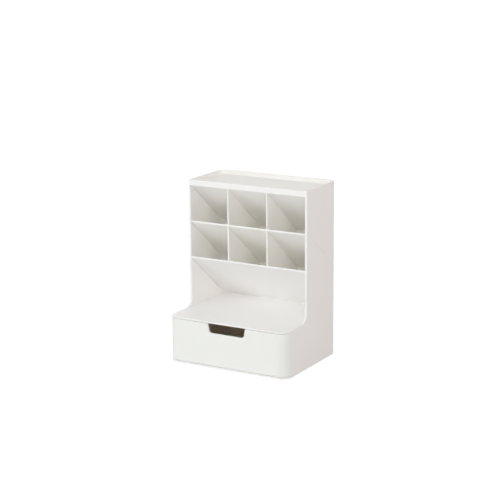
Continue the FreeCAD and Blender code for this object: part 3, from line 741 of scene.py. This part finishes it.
def add_camera():
    """The camera: in front of the object, to its right and a little above it."""
    data = bpy.data.cameras.new("camera")
    data.lens = CAMERA_LENS
    data.sensor_width = CAMERA_SENSOR
    data.sensor_height = CAMERA_SENSOR
    data.sensor_fit = "HORIZONTAL"
    data.clip_end = CAMERA_REACH
    camera = bpy.data.objects.new("camera", data)
    camera.matrix_world = aim(CAMERA_PLACE, CAMERA_AIM, CAMERA_ROLL)
    bpy.context.scene.collection.objects.link(camera)
    bpy.context.scene.camera = camera


def add_lamps():
    """The soft lamps round the object, all turned to its middle."""
    for name, (azimuth, elevation, distance, width, height, power, colour) in LAMPS.items():
        data = bpy.data.lights.new(name, "AREA")
        data.shape = "RECTANGLE"
        data.size = width
        data.size_y = height
        data.energy = power
        data.color = colour
        lamp = bpy.data.objects.new(name, data)
        turn, rise = math.radians(azimuth), math.radians(elevation)
        level = math.cos(rise)
        away = Vector((math.sin(turn) * level, -math.cos(turn) * level, math.sin(rise)))
        lamp.matrix_world = aim(LAMP_AIM + distance * away, LAMP_AIM)
        lamp.visible_camera = False
        bpy.context.scene.collection.objects.link(lamp)


def seen_ray(tree):
    """1 for rays that show the surroundings: those of the camera, of gloss and of glass."""
    path = put(tree, "ShaderNodeLightPath").outputs
    direct = calc(tree, "MAXIMUM", path["Is Camera Ray"], path["Is Glossy Ray"])
    return calc(tree, "MAXIMUM", direct, path["Is Transmission Ray"])


def add_world():
    """Faint light from all round, behind a background that shows white."""
    world = bpy.data.worlds.new("studio")
    bpy.context.scene.world = world
    world.use_nodes = True
    tree = world.node_tree
    tree.nodes.clear()
    ambient = put(tree, "ShaderNodeBackground", {"Color": WHITE, "Strength": WORLD_STRENGTH})
    white = put(tree, "ShaderNodeBackground", {"Color": WHITE, "Strength": 1.0})
    inputs = {0: seen_ray(tree), 1: ambient.outputs[0], 2: white.outputs[0]}
    mix = put(tree, "ShaderNodeMixShader", inputs)
    put(tree, "ShaderNodeOutputWorld", {"Surface": mix.outputs[0]})


def add_floor():
    """A pale floor that shows white, with the object's own faint shadow near it."""
    bm = bmesh.new()
    bmesh.ops.create_circle(bm, cap_ends=True, radius=FLOOR_RADIUS, segments=FLOOR_SEGMENTS)
    mesh = bpy.data.meshes.new("floor")
    bm.to_mesh(mesh)
    bm.free()
    floor = bpy.data.objects.new("floor", mesh)
    bpy.context.scene.collection.objects.link(floor)
    material, tree = blank_material("pale_floor")
    lit = put(tree, "ShaderNodeBsdfDiffuse", {"Color": FLOOR_TONE})
    seen = put(tree, "ShaderNodeBsdfDiffuse", {"Color": SHADOW_TONE})
    place = put(tree, "ShaderNodeTexCoord").outputs["Object"]
    away = put(tree, "ShaderNodeVectorMath", {0: place}, operation="LENGTH").outputs["Value"]
    strength = eased(tree, away, GLOW_DISTANCE, GLOW_STRENGTH)
    glow = put(tree, "ShaderNodeEmission", {"Color": WHITE, "Strength": strength})
    shade = put(tree, "ShaderNodeAddShader", {0: seen.outputs[0], 1: glow.outputs[0]})
    inputs = {0: seen_ray(tree), 1: lit.outputs[0], 2: shade.outputs[0]}
    mix = put(tree, "ShaderNodeMixShader", inputs)
    put(tree, "ShaderNodeOutputMaterial", {"Surface": mix.outputs[0]})
    mesh.materials.append(material)


def fit(piece, nodes):
    """Let a piece ride on the body of the CAD nodes that it stands for, and hide those nodes."""
    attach(piece, BODY_OF[nodes[0]])
    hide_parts(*nodes)


def build_mouldings():
    """Each moulded piece in its own plastic."""
    plastics = {
        name: moulded_plastic(name, *tones, SIDE_SINKS_AND_PAINTED_SHADE if name == "side_plastic" else ())
        for name, tones in PLASTICS.items()
    }
    tree, owners = surface_tree()
    for node, (radius, finish) in MOULDED.items():
        piece = moulding(node, radius, tree, owners)
        piece.data.materials.append(plastics[finish])
        fit(piece, [node])


def build_fittings():
    """The screws and the feet."""
    steel = plated_steel("zinc_plated_steel")
    screws = screw_tree(BASE_SCREWS, steel)
    fit(grown("base_screws_pan_head", screws, BASE_SCREWS), ["base_screws"])
    fit(grown("drawer_front_screws_pan_head", screws, FRONT_SCREWS), ["drawer_front_screws"])
    rubber = soft_rubber("foot_rubber")
    feet = grown("ringed_rubber_feet", foot_tree(FEET, rubber), FEET)
    fit(feet, ["front_left_foot", "front_right_foot", "back_left_foot", "back_right_foot"])


build_mouldings()
build_fittings()
add_floor()
add_lamps()
add_world()
add_camera()
bpy.context.scene.view_settings.view_transform = "Standard"
bpy.context.scene.cycles.diffuse_bounces = BOUNCES
bpy.context.scene.cycles.max_bounces = BOUNCES
